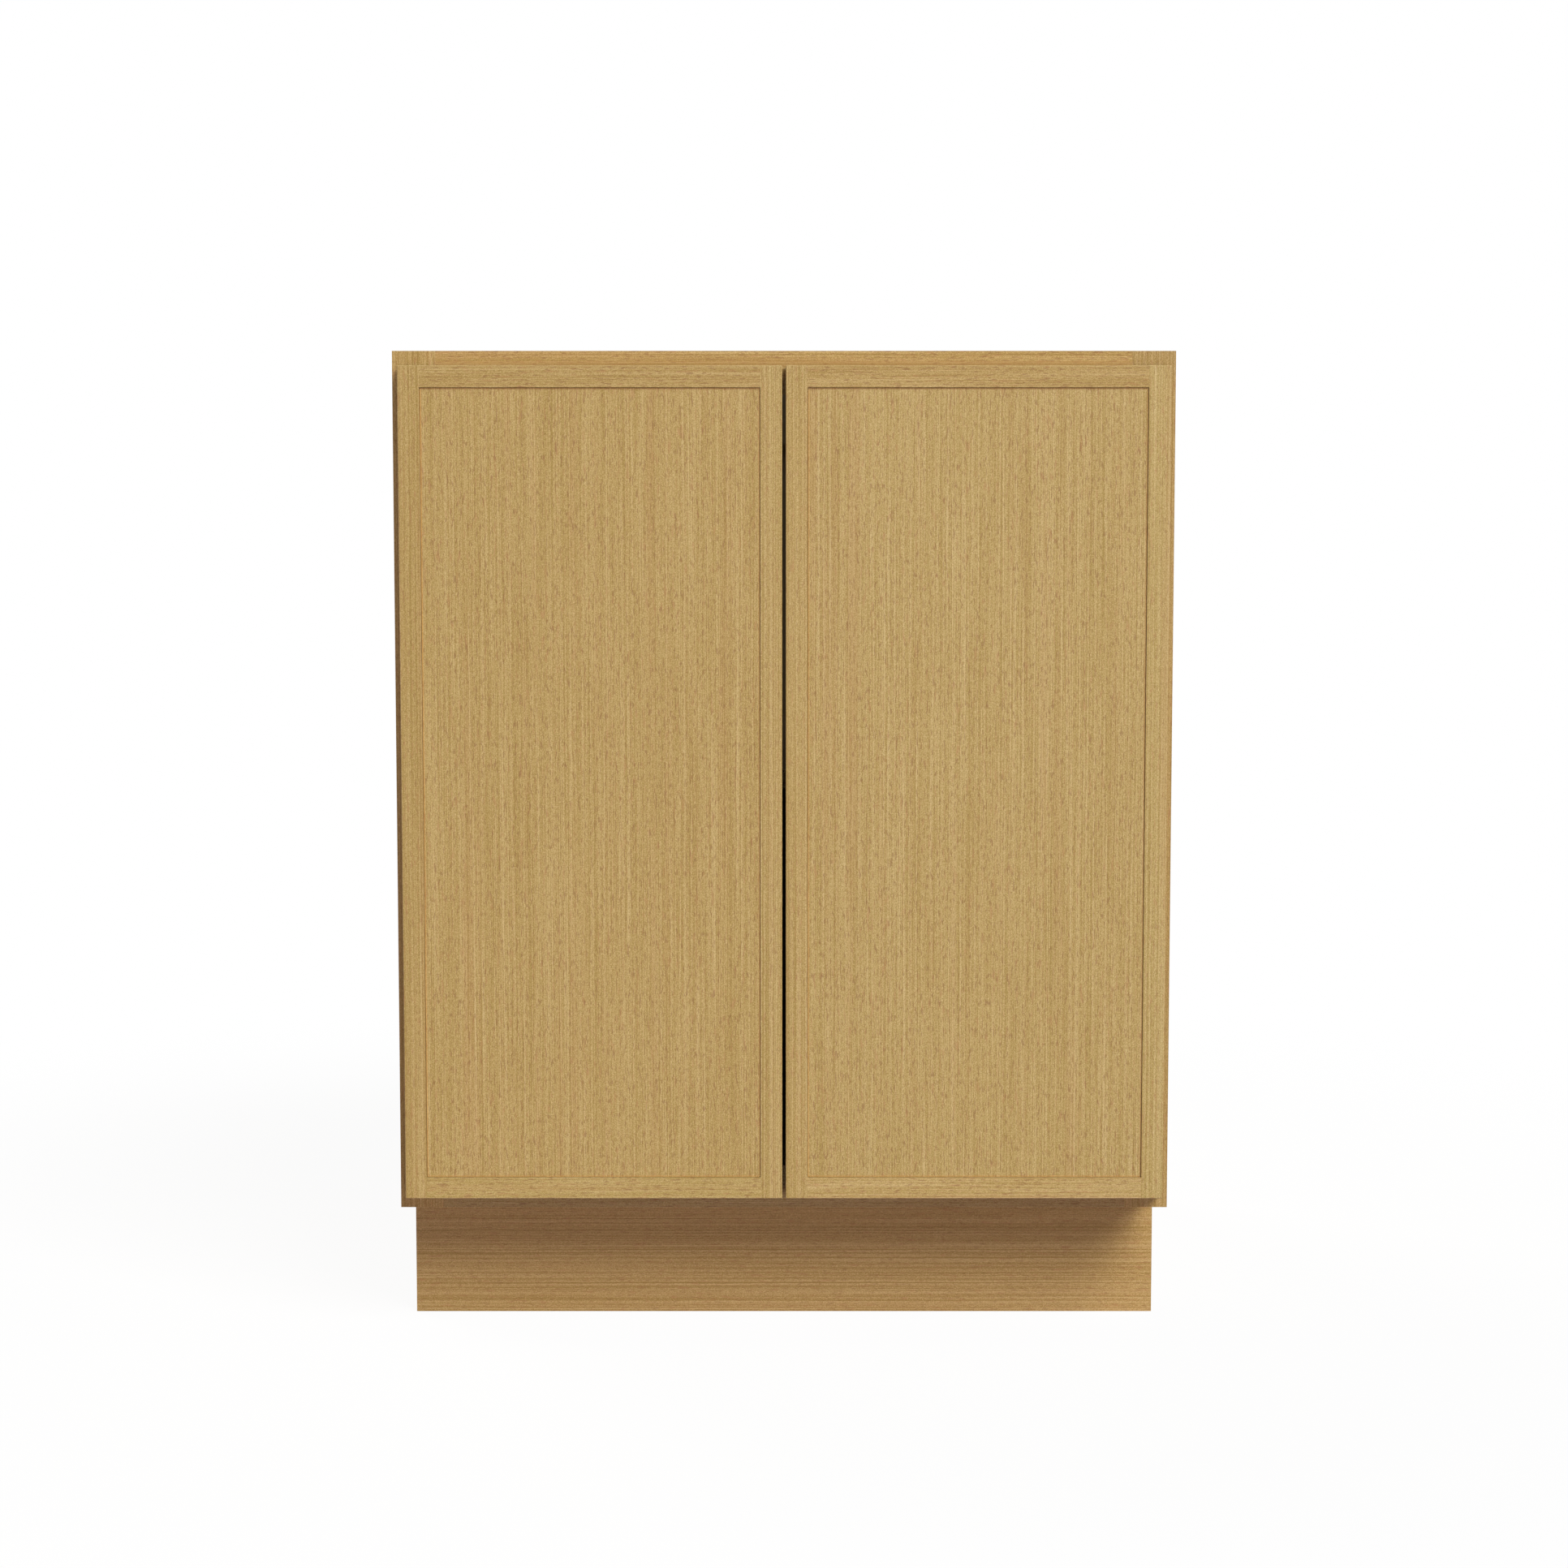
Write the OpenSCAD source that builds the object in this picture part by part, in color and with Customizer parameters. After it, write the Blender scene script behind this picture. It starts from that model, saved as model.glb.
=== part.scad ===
// Framed kitchen base cabinet with two slim-border overlay doors, a toe space, a shelf and an open top.
// X runs along the width, -Y is the front and +Z is up. The origin is on the floor, in the middle of the
// box that holds the cabinet with its doors shut.

/* [Case] */
// Width over the face frame
case_w = 685.8; // [610:0.1:915]
// Height from the floor to the top edge
case_h = 876.3; // [820:0.1:920]
// Depth from the front of the face frame to the back
case_d = 609.6; // [480:0.1:620]
// Thickness of the two side panels
side_t = 12.7; // [11.5:0.1:16]
// Thickness of the deck that closes the bottom
deck_t = 12.7; // [11:0.1:19]
// Thickness of the back panel
back_t = 6.35; // [4:0.05:12]
// Depth of the grooves that hold the deck and the back
groove_d = 5; // [3:0.5:7]
// Height of each hanging rail
hang_h = 88.9; // [70:0.1:110]
// Thickness of the hanging rails
hang_t = 19.05; // [15:0.05:22]

/* [Toe space] */
// Height of the toe space
toe_h = 114.3; // [80:0.1:140]
// How far the toe board lies behind the face frame
toe_recess = 76.2; // [50:0.1:100]
// Thickness of the toe board that shows
toe_board_t = 6.35; // [4:0.05:13]
// Thickness of the board behind the toe board
toe_backer_t = 12.7; // [11:0.1:19]

/* [Face frame] */
// Thickness of the face frame
frame_t = 19.05; // [17:0.05:22]
// Width of the stiles
stile_w = 38.1; // [36:0.1:50]
// Height of the top and bottom rails
rail_h = 38.1; // [34:0.1:50]
// How far the stiles stand past the side panels
frame_lip = 5.5; // [3:0.1:10]
// Depth of the grooves behind the stiles that take the side panels
frame_groove_d = 4; // [2:0.1:5]
// Diameter of the frame's dowels
dowel_d = 8; // [6:0.5:9]
// Length of the frame's dowels
dowel_l = 36; // [25:1:45]
// Distance between the two dowels of a joint
dowel_pitch = 19; // [16:0.5:22]

/* [Doors] */
// Thickness of the doors
door_t = 19.05; // [17:0.05:22]
// How far each door laps over the frame beside the opening
door_overlay = 31.75; // [25.4:0.05:33]
// Frame that shows above the doors
top_reveal = 12.7; // [6:0.1:20]
// Frame that shows below the doors
bottom_reveal = 12.7; // [6:0.1:20]
// Gap between the two doors
middle_gap = 3.2; // [2:0.1:6]
// Gap between the back of the doors and the face frame
door_standoff = 3; // [2.8:0.1:4]
// Width of the border, which is the door's stiles and rails
border_w = 19.05; // [17:0.05:60]
// How far the panel lies behind the front of the border
panel_recess = 1.5; // [1:0.1:5]
// Width of the fine gap between the panel and the border
panel_gap = 0.3; // [0.1:0.05:1]
// Length of the tongue round the panel
tongue_l = 6; // [4:0.5:8]
// Thickness of the tongue round the panel
tongue_t = 6; // [4:0.5:8]
// Chamfer along the outer front edges
edge_ease = 0.5; // [0.2:0.1:1.5]
// Diameter of the door bumpers
bumper_d = 9.5; // [6:0.5:12]
// Distance of a bumper's middle from the edges of the door
bumper_inset = 11; // [8:0.5:15]

/* [Hinges] */
// How far the doors open, in degrees
open_angle = 105; // [95:1:110]
// Distance from the end of a door to the middle of the nearest hinge
hinge_end = 88.9; // [70:0.1:150]
// Diameter of the hinge cup
cup_d = 35; // [34:0.5:40]
// Depth of the hinge cup
cup_depth = 12; // [11:0.1:13]
// Thickness of the cup's wall
cup_wall = 0.8; // [0.6:0.05:1]
// Wood between the cup and the edge of the door
cup_tab = 3; // [2.2:0.1:3.3]
// Thickness of the flange round the cup
flange_t = 1; // [0.8:0.05:1.2]
// Distance between the two screws of a cup
cup_screw_pitch = 45; // [42:0.5:52]
// How far the cup's screws lie past the middle of the cup
cup_screw_in = 9.5; // [6:0.5:11]
// Diameter of the hinge pin
pin_d = 2.4; // [2:0.1:3]
// Wall of the eye round the pin
eye_wall = 0.85; // [0.6:0.05:1]
// Width of the hinge arm
arm_w = 8; // [6:0.5:10]
// Thickness of the hinge arm
arm_t = 1.8; // [1.4:0.1:2]
// Outer radius of the arm's bend
bend_r = 5; // [3:0.5:7]
// Thickness of the mounting plate
plate_t = 1.5; // [1:0.1:1.8]
// Width of the mounting plate's ears
plate_ear_w = 12; // [9:0.5:14]
// Distance between the two screws of a mounting plate
plate_screw_pitch = 28; // [26:0.5:40]

/* [Shelf] */
// Height of the shelf's underside above the deck
shelf_rise = 336; // [250:1:420]
// Thickness of the shelf
shelf_t = 15.9; // [12:0.1:19]
// Thickness of the strip along the shelf's front
shelf_edge_t = 3; // [1:0.5:8]
// Distance from the face frame to the front of the shelf
shelf_setback = 14; // [8:1:300]
// Gap at each end and behind the shelf
shelf_gap = 1.5; // [1:0.1:3]
// Diameter of the shelf-pin holes
pin_hole_d = 5; // [4:0.5:7]
// Depth of the shelf-pin holes
pin_hole_depth = 9; // [6:0.5:10]
// Distance from one shelf-pin hole to the next
pin_hole_pitch = 32; // [25:1:50]
// Shelf-pin holes above the one in use, and as many below
pin_hole_rows = 3; // [1:1:4]
// Distance of the shelf-pin holes from the ends of the shelf's depth
pin_hole_inset = 60; // [30:1:100]
// Diameter of the shelf pin's head
pin_head_d = 9; // [8:0.5:12]
// Length of the shelf pin's head
pin_head_l = 8; // [5:0.5:12]

/* [Corner braces] */
// Length of each leg of a brace
brace_leg = 76; // [66:1:100]
// Thickness of the brace's walls
brace_t = 3; // [2:0.5:4]
// Diameter of the hole for a worktop screw
top_hole_d = 5; // [4:0.5:7]
// Distance of that hole from each of the two walls
top_hole_in = 26; // [20:1:30]
// Diameter of the boss round that hole
top_boss_d = 13; // [10:0.5:16]

/* [Screws] */
// Diameter of the screws' shanks
shank_d = 3.5; // [3:0.1:4]
// Diameter of the screws' heads
head_d = 7; // [6:0.1:8]
// Height of the screws' heads
head_h = 1.5; // [1:0.1:1.8]

/* [Hidden] */
$fn = 48;

// Sides, and the upper and lower hinge of a door
LEFT = -1;
RIGHT = 1;
UPPER = 1;
LOWER = 0;

// Finishes
OAK = "#BA9C66";
OAK_EDGE = "#B6955B";
PLYWOOD = "#D8C6A0";
STEEL = "#B9BBBD";
NYLON = "#E9E7E0";
RUBBER = "#DADBD6";

// Clearance between pieces that are glued or screwed together
fit = 0.1;
// Running clearance between a hinge pin and the arm's eye, measured on the radius
pin_clear = 0.05;
// Least gap between the arm and the cup round it
arm_gap = 0.45;
// How far a cut runs past the solid that it opens
past = 1;

// Planes of the case
case_depth_all = case_d + door_standoff + door_t;
front_y = -case_depth_all / 2;
frame_y = front_y + door_t + door_standoff;
frame_back_y = frame_y + frame_t;
back_y = case_depth_all / 2;
inner_back_y = back_y - back_t;
side_x = case_w / 2 - frame_lip;
inner_x = side_x - side_t;
opening_x = case_w / 2 - stile_w;
deck_top_z = toe_h + rail_h;
deck_z = deck_top_z - deck_t;
toe_y = frame_y + toe_recess;
toe_backer_y = toe_y + toe_board_t;
hang_y = inner_back_y - hang_t;

// Dowels run along X at the middle of the frame's thickness, half in the rail and half in the stile,
// with a little room past each end
dowel_y = frame_y + frame_t / 2;
dowel_room = 1;
rail_mid_zs = [toe_h + rail_h / 2, case_h - rail_h / 2];
dowel_zs = [for (z = rail_mid_zs, s = [-1, 1]) z + s * dowel_pitch / 2];

// Doors, in a place of their own: u from the outer edge towards the middle, v forwards from the frame
side_reveal = stile_w - door_overlay;
door_w = case_w / 2 - side_reveal - middle_gap / 2;
door_h = case_h - toe_h - top_reveal - bottom_reveal;
door_z = toe_h + bottom_reveal;
door_front_v = door_standoff + door_t;
panel_front_v = door_front_v - panel_recess;
tongue_v = door_standoff + (door_t - panel_recess - tongue_t) / 2;

// Bumpers: a straight skirt, and a dome that stops just short of the face frame
bumper_gap = 0.3;
bumper_skirt_h = 1.2;
bumper_h = door_standoff - bumper_gap;
bumper_dome_h = bumper_h - bumper_skirt_h;
bumper_dome_r = (pow(bumper_d / 2, 2) + pow(bumper_dome_h, 2)) / (2 * bumper_dome_h);
bumper_u = door_w - bumper_inset;
bumper_zs = [bumper_inset, door_h - bumper_inset];

// Hinge cup
cup_r = cup_d / 2;
cup_in_r = cup_r - cup_wall;
cup_u = cup_tab + cup_r;
flange_rim = 1.5;
cup_bore_r = cup_r + fit;
ear_r = 6;
hinge_zs = [hinge_end, door_h - hinge_end];

// The pin lies as close to the cup's outer wall as the eye allows. The arm rises above the pin just
// enough to clear the cup's rim when the door stands open, and the pin's depth leaves room for both.
eye_r = pin_d / 2 + pin_clear + eye_wall;
wall_from_pin = eye_r + arm_gap;
pin_u = cup_u - sqrt(pow(cup_in_r, 2) - pow(arm_w / 2, 2)) + wall_from_pin;
past_square = open_angle - 90;
rim_reach = (wall_from_pin - arm_gap) / cos(past_square);
free_depth = cup_depth - cup_wall - arm_gap;
arm_pin_depth = (free_depth - arm_t - flange_t * tan(past_square) + rim_reach) / (1 + tan(past_square));
pin_depth = min(arm_pin_depth, free_depth - eye_r);
arm_rise = (pin_depth + flange_t) * tan(past_square) - rim_reach + arm_t / 2;
pin_v = door_standoff + pin_depth;

// Arm and mounting plate on the stile's inner edge
leg_in_u = door_overlay + plate_t + fit;
leg_out_a = leg_in_u + arm_t - pin_u;
arm_top_b = arm_rise + arm_t / 2;
leg_end_room = 2;
leg_end_b = -pin_v - frame_t + leg_end_room;
plate_margin = 1;
plate_l = frame_t - 2 * plate_margin;
plate_mid_y = frame_t / 2;
plate_shoulder = 4;
plate_mid_h = arm_w + 2 * plate_shoulder;
lip_t = 1.2;
lip_gap = 0.3;
slot_w = shank_d + 2 * fit;
slot_l = 7;

// How deep the screws go into the wood, and their lengths under the head
plate_screw_bite = 15;
arm_screw_bite = 4;
cup_screw_bite = 10;
wood_past_tip = 2.5;
plate_screw_l = plate_t + plate_screw_bite;
arm_screw_l = plate_t + arm_t + arm_screw_bite;
cup_screw_l = flange_t + cup_screw_bite;
brace_screw_l = brace_t + side_t - wood_past_tip;
cup_head_h = 1.2;

// Shelf and its pins
shelf_z = deck_top_z + shelf_rise;
shelf_front_y = frame_back_y + shelf_setback;
shelf_back_y = inner_back_y - shelf_gap;
shelf_half_w = inner_x - shelf_gap;
pin_hole_ys = [frame_back_y + pin_hole_inset + shelf_setback, inner_back_y - pin_hole_inset];
pin_seat_rise = 2;
pin_hole_z = shelf_z - pin_seat_rise;

// Corner braces: the walls stand on the sides, the frame's back and the hanging rail's front
rail_below_brace = 10;
brace_h = rail_h - rail_below_brace;
brace_rib_t = 2.5;
brace_nose = 9;
brace_screw_end = 14;
brace_screws_at = [brace_screw_end, brace_leg - brace_screw_end];
brace_screw_z = case_h - rail_h / 2;
top_boss_h = 12;

// A box between two corners, given as ranges along X, Y and Z
module block(x, y, z) {
    translate([x[0], y[0], z[0]])
        cube([x[1] - x[0], y[1] - y[0], z[1] - z[0]]);
}

// Everything in pairs is drawn on the right, and mirrored for the left
module on_side(side) {
    if (side == LEFT)
        mirror([1, 0, 0]) children();
    else
        children();
}

// Puts a door's own u, -v and height in place. A door is drawn as the left one
module on_door(side) {
    on_side(-side)
        translate([side_reveal - case_w / 2, frame_y, door_z])
            children();
}

// Cylinders along X and along Y, from a start towards a growing coordinate
module bar_x(r, x, y, z) {
    translate([x[0], y, z])
        rotate([0, 90, 0])
            cylinder(r = r, h = x[1] - x[0]);
}

module bar_y(r, x, y, z) {
    translate([x, y[1], z])
        rotate([90, 0, 0])
            cylinder(r = r, h = y[1] - y[0]);
}

// A pan-head screw that points along -Z, with its head on the XY plane. The head's rim is a third of its
// height, and its shank ends in a right-angled point
module screw(length, head_height) {
    head_r = head_d / 2;
    shank_r = shank_d / 2;
    rim_h = head_height / 3;
    rotate_extrude()
        polygon([
            [0, head_height], [head_r - (head_height - rim_h), head_height], [head_r, rim_h],
            [head_r, 0], [shank_r, 0], [shank_r, shank_r - length], [0, -length]
        ]);
}

// Places of the brace screws in the side panel, and in the frame or the hanging rail
module at_side_brace_screws() {
    for (d = brace_screws_at, corner = [[frame_back_y, 1], [hang_y, -1]])
        translate([inner_x - brace_t, corner[0] + corner[1] * d, brace_screw_z])
            rotate([0, -90, 0]) children();
}

module at_front_brace_screws() {
    for (d = brace_screws_at)
        translate([inner_x - d, frame_back_y + brace_t, brace_screw_z])
            rotate([-90, 0, 0]) children();
}

module at_rear_brace_screws() {
    for (d = brace_screws_at)
        translate([inner_x - d, hang_y - brace_t, brace_screw_z])
            rotate([90, 0, 0]) children();
}

// The hole that a screw of this length leaves in wood
module screw_hole(length) {
    translate([0, 0, -length - fit])
        cylinder(r = shank_d / 2 + fit, h = length + fit + past);
}

// Side panel with its toe notch, deck groove, back rabbet and shelf-pin holes
module side_panel(side) {
    color(PLYWOOD) on_side(side) difference() {
        block([inner_x, side_x], [frame_back_y - frame_groove_d + fit, back_y], [0, case_h]);
        block([inner_x - past, side_x + past], [frame_y, toe_backer_y], [-past, toe_h]);
        block([inner_x - past, inner_x + groove_d], [frame_y, inner_back_y],
            [deck_z - fit, deck_top_z + fit]);
        block([inner_x - past, inner_x + groove_d], [inner_back_y - fit, back_y + past],
            [-past, case_h + past]);
        for (y = pin_hole_ys, row = [-pin_hole_rows : pin_hole_rows])
            bar_x(pin_hole_d / 2, [inner_x - past, inner_x + pin_hole_depth], y,
                pin_hole_z + row * pin_hole_pitch);
        at_side_brace_screws() screw_hole(brace_screw_l);
    }
}

module deck() {
    color(PLYWOOD)
        block([fit - inner_x - groove_d, inner_x + groove_d - fit], [frame_back_y, inner_back_y - fit],
            [deck_z, deck_top_z]);
}

module back_panel() {
    color(PLYWOOD)
        block([fit - inner_x - groove_d, inner_x + groove_d - fit], [inner_back_y, back_y], [0, case_h]);
}

module hanging_rail(top_z) {
    color(PLYWOOD) difference() {
        block([fit - inner_x, inner_x - fit], [hang_y, inner_back_y], [top_z - hang_h, top_z]);
        for (side = [LEFT, RIGHT])
            on_side(side) at_rear_brace_screws() screw_hole(brace_screw_l);
    }
}

module toe_backer() {
    color(PLYWOOD)
        block([fit - inner_x, inner_x - fit], [toe_backer_y, toe_backer_y + toe_backer_t], [0, deck_z]);
}

module toe_board() {
    color(OAK) block([-side_x, side_x], [toe_y, toe_backer_y], [0, toe_h]);
}

// Frame stile, grooved behind for the side panel and bored for dowels and hinge screws
module frame_stile(side) {
    color(OAK_EDGE) {
        difference() {
            on_side(side) difference() {
                block([opening_x, case_w / 2], [frame_y, frame_back_y], [toe_h, case_h]);
                block([inner_x - fit, side_x + fit], [frame_back_y - frame_groove_d, frame_back_y + past],
                    [toe_h - past, case_h + past]);
                for (z = dowel_zs)
                    bar_x(dowel_d / 2 + fit / 2, [opening_x - past, opening_x + dowel_l / 2 + dowel_room],
                        dowel_y, z);
                at_front_brace_screws() screw_hole(brace_screw_l);
            }
            for (level = [UPPER, LOWER])
                at_hinge(side, level) {
                    at_plate_screws() screw_hole(plate_screw_l);
                    at_arm_screw() screw_hole(arm_screw_l);
                }
        }
    }
}

module frame_rail(bottom_z) {
    color(OAK_EDGE) difference() {
        block([-opening_x, opening_x], [frame_y, frame_back_y], [bottom_z, bottom_z + rail_h]);
        for (side = [LEFT, RIGHT])
            on_side(side) {
                for (z = dowel_zs)
                    bar_x(dowel_d / 2 + fit / 2, [opening_x - dowel_l / 2 - dowel_room, opening_x + past],
                        dowel_y, z);
                at_front_brace_screws() screw_hole(brace_screw_l);
            }
    }
}

module frame_dowels() {
    color(PLYWOOD)
        for (side = [LEFT, RIGHT], z = dowel_zs)
            on_side(side)
                bar_x(dowel_d / 2, [opening_x - dowel_l / 2, opening_x + dowel_l / 2], dowel_y, z);
}

// Moulded brace in its own corner: its walls lie on the planes x = 0 and y = 0, its web is on top
module brace_form() {
    difference() {
        union() {
            translate([0, 0, -brace_t])
                linear_extrude(brace_t)
                    polygon([[0, 0], [brace_leg, 0], [brace_leg, brace_nose], [brace_nose, brace_leg],
                        [0, brace_leg]]);
            block([0, brace_leg], [0, brace_t], [-brace_h, 0]);
            block([0, brace_t], [0, brace_leg], [-brace_h, 0]);
            translate([brace_nose, brace_leg, -brace_h / 2])
                rotate([0, 0, -45])
                    block([0, (brace_leg - brace_nose) * sqrt(2)], [-brace_rib_t, 0], [0, brace_h / 2]);
            translate([top_hole_in, top_hole_in, -top_boss_h])
                cylinder(d = top_boss_d, h = top_boss_h);
        }
        translate([top_hole_in, top_hole_in, -top_boss_h - past])
            cylinder(d = top_hole_d, h = top_boss_h + 2 * past);
        for (d = brace_screws_at) {
            bar_y(shank_d / 2 + fit, d, [-past, brace_t + past], brace_screw_z - case_h);
            bar_x(shank_d / 2 + fit, [-past, brace_t + past], d, brace_screw_z - case_h);
        }
    }
}

module front_brace(side) {
    color(NYLON) on_side(side)
        translate([inner_x, frame_back_y, case_h])
            mirror([1, 0, 0]) brace_form();
}

module rear_brace(side) {
    color(NYLON) on_side(side)
        translate([inner_x, hang_y, case_h])
            rotate([0, 0, 180]) brace_form();
}

module brace_screws() {
    color(STEEL)
        for (side = [LEFT, RIGHT])
            on_side(side) {
                at_side_brace_screws() screw(brace_screw_l, head_h);
                at_front_brace_screws() screw(brace_screw_l, head_h);
                at_rear_brace_screws() screw(brace_screw_l, head_h);
            }
}

module shelf() {
    color(PLYWOOD)
        block([-shelf_half_w, shelf_half_w], [shelf_front_y + shelf_edge_t, shelf_back_y],
            [shelf_z, shelf_z + shelf_t]);
}

module shelf_edge() {
    color(OAK)
        block([-shelf_half_w, shelf_half_w], [shelf_front_y, shelf_front_y + shelf_edge_t],
            [shelf_z, shelf_z + shelf_t]);
}

// A pin in its hole, with a head cut flat where the shelf rests
module shelf_pins() {
    color(STEEL)
        for (side = [LEFT, RIGHT], y = pin_hole_ys)
            on_side(side) difference() {
                union() {
                    bar_x(pin_hole_d / 2 - fit / 2, [inner_x, inner_x + pin_hole_depth - dowel_room], y,
                        pin_hole_z);
                    bar_x(pin_head_d / 2, [inner_x - pin_head_l, inner_x], y, pin_hole_z);
                }
                block([inner_x - pin_head_l - past, inner_x + fit], [y - pin_head_d, y + pin_head_d],
                    [shelf_z, shelf_z + pin_head_d]);
            }
}

// Puts a hinge's own u, -v and height in place, at the upper or the lower hinge of a door
module at_hinge(side, level) {
    on_door(side)
        translate([0, 0, hinge_zs[level]])
            children();
}

module at_plate_screws() {
    for (end = [-1, 1])
        translate([door_overlay + plate_t, plate_mid_y, end * plate_screw_pitch / 2])
            rotate([0, 90, 0]) children();
}

module at_arm_screw() {
    translate([leg_in_u + arm_t, plate_mid_y, 0])
        rotate([0, 90, 0]) children();
}

// The cup's own place: Z runs forwards into the door, and the XY plane is the frame's front
module at_cup() {
    translate([cup_u, 0, 0])
        rotate([90, 0, 0]) children();
}

module at_cup_screws() {
    for (end = [-1, 1])
        translate([cup_screw_in, end * cup_screw_pitch / 2, door_standoff - flange_t])
            rotate([180, 0, 0]) children();
}

// Mounting plate on the stile's inner edge, with two lips that guide the arm
module hinge_plate(side, level) {
    color(STEEL) at_hinge(side, level) difference() {
        union() {
            translate([door_overlay, plate_mid_y, 0])
                rotate([0, 90, 0])
                    linear_extrude(plate_t) {
                        square([plate_mid_h, plate_l], center = true);
                        square([plate_screw_pitch, plate_ear_w], center = true);
                        for (end = [-1, 1])
                            translate([end * plate_screw_pitch / 2, 0]) circle(d = plate_ear_w);
                    }
            for (end = [-1, 1])
                translate([0, 0, end * (arm_w / 2 + lip_gap + lip_t / 2)])
                    block([door_overlay, leg_in_u + arm_t], [plate_margin, frame_t - plate_margin],
                        [-lip_t / 2, lip_t / 2]);
        }
        at_plate_screws() screw_hole(plate_screw_l);
        at_arm_screw() screw_hole(arm_screw_l);
    }
}

module plate_screws() {
    color(STEEL)
        for (side = [LEFT, RIGHT], level = [UPPER, LOWER])
            at_hinge(side, level) at_plate_screws() screw(plate_screw_l, head_h);
}

module arm_screws() {
    color(STEEL)
        for (side = [LEFT, RIGHT], level = [UPPER, LOWER])
            at_hinge(side, level) at_arm_screw() screw(arm_screw_l, head_h);
}

// A rectangle from the origin with its far corner rounded
module one_round_corner(width, height, radius) {
    square([width - radius, height]);
    square([width, height - radius]);
    translate([width - radius, height - radius]) circle(r = radius);
}

// Side view of the gooseneck, from the pin at its origin: eye, strap, bend and leg
module arm_outline() {
    difference() {
        union() {
            circle(r = eye_r);
            translate([0, leg_end_b]) difference() {
                one_round_corner(leg_out_a, arm_top_b - leg_end_b, bend_r);
                translate([-past, -past])
                    one_round_corner(leg_out_a - arm_t + past, arm_top_b - arm_t - leg_end_b + past,
                        bend_r - arm_t);
            }
        }
        circle(r = pin_d / 2 + pin_clear);
    }
}

module hinge_arm(side, level) {
    color(STEEL) at_hinge(side, level) difference() {
        mirror([0, 1, 0])
            translate([pin_u, pin_v, 0])
                linear_extrude(arm_w, center = true) arm_outline();
        for (end = [-1, 1])
            bar_x(slot_w / 2, [leg_in_u - past, leg_in_u + arm_t + past],
                plate_mid_y + end * (slot_l - slot_w) / 2, 0);
        block([leg_in_u - past, leg_in_u + arm_t + past],
            [plate_mid_y - (slot_l - slot_w) / 2, plate_mid_y + (slot_l - slot_w) / 2],
            [-slot_w / 2, slot_w / 2]);
    }
}

// Pressed cup: a flange with two ears, a well, and bores for the pin
module hinge_cup(side, level) {
    color(STEEL) at_hinge(side, level) at_cup() difference() {
        union() {
            translate([0, 0, door_standoff - flange_t])
                linear_extrude(flange_t) {
                    circle(r = cup_r + flange_rim);
                    translate([cup_screw_in, 0]) {
                        square([2 * ear_r, cup_screw_pitch], center = true);
                        for (end = [-1, 1])
                            translate([0, end * cup_screw_pitch / 2]) circle(r = ear_r);
                    }
                }
            translate([0, 0, door_standoff - flange_t])
                cylinder(r = cup_r, h = flange_t + cup_depth);
        }
        translate([0, 0, door_standoff - flange_t - past])
            cylinder(r = cup_in_r, h = past + flange_t + cup_depth - cup_wall);
        translate([pin_u - cup_u, 0, pin_v])
            rotate([90, 0, 0])
                cylinder(r = pin_d / 2 + fit / 2, h = 2 * cup_d, center = true);
        at_cup_screws() screw_hole(cup_screw_l);
    }
}

module hinge_pin(side, level) {
    color(STEEL) at_hinge(side, level) at_cup() intersection() {
        translate([pin_u - cup_u, 0, pin_v])
            rotate([90, 0, 0])
                cylinder(d = pin_d, h = 2 * cup_d, center = true);
        cylinder(r = cup_r - fit / 2, h = door_front_v);
    }
}

module cup_screws(side) {
    color(STEEL)
        for (level = [UPPER, LOWER])
            at_hinge(side, level) at_cup() at_cup_screws() screw(cup_screw_l, cup_head_h);
}

// What the two cups and their screws take out of a door
module cup_cuts() {
    for (z = hinge_zs)
        translate([0, 0, z]) at_cup() {
            translate([0, 0, door_standoff - past])
                cylinder(r = cup_bore_r, h = past + cup_depth + fit);
            at_cup_screws() screw_hole(cup_screw_l);
        }
}

// Chamfers along the front edges of the door's top and bottom
module end_eases() {
    for (z = [0, door_h])
        translate([-past, -door_front_v, z])
            rotate([0, 90, 0])
                linear_extrude(door_w + 2 * past)
                    polygon([[edge_ease, 0], [0, edge_ease], [-edge_ease, 0], [0, -edge_ease]]);
}

// Groove or tongue round the panel, as a ring of this reach into the border
module tongue_block(reach, slack) {
    block([border_w - reach, door_w - border_w + reach],
        [-tongue_v - tongue_t - slack, slack - tongue_v],
        [border_w - reach, door_h - border_w + reach]);
}

// Door stile with the groove on its inner edge and an eased outer front edge
module stile_form() {
    difference() {
        linear_extrude(door_h)
            polygon([[0, -door_standoff], [0, edge_ease - door_front_v], [edge_ease, -door_front_v],
                [border_w, -door_front_v], [border_w, -door_standoff]]);
        block([border_w - tongue_l, border_w + past],
            [-tongue_v - tongue_t - fit, fit - tongue_v], [-past, door_h + past]);
        end_eases();
    }
}

module hinge_stile(side) {
    color(OAK_EDGE) on_door(side) difference() {
        stile_form();
        cup_cuts();
    }
}

module latch_stile(side) {
    color(OAK_EDGE) on_door(side)
        translate([door_w, 0, 0])
            mirror([1, 0, 0]) stile_form();
}

// Door rail with a tenon at each end. The lower rail is drawn, and turned over for the upper one
module rail_form() {
    difference() {
        union() {
            block([border_w, door_w - border_w], [-door_front_v, -door_standoff], [0, border_w]);
            block([border_w - tongue_l + fit, door_w - border_w + tongue_l - fit],
                [-tongue_v - tongue_t, -tongue_v], [0, border_w - tongue_l]);
        }
        tongue_block(tongue_l, fit);
        end_eases();
    }
}

module door_bottom_rail(side) {
    color(OAK_EDGE) on_door(side) rail_form();
}

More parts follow.
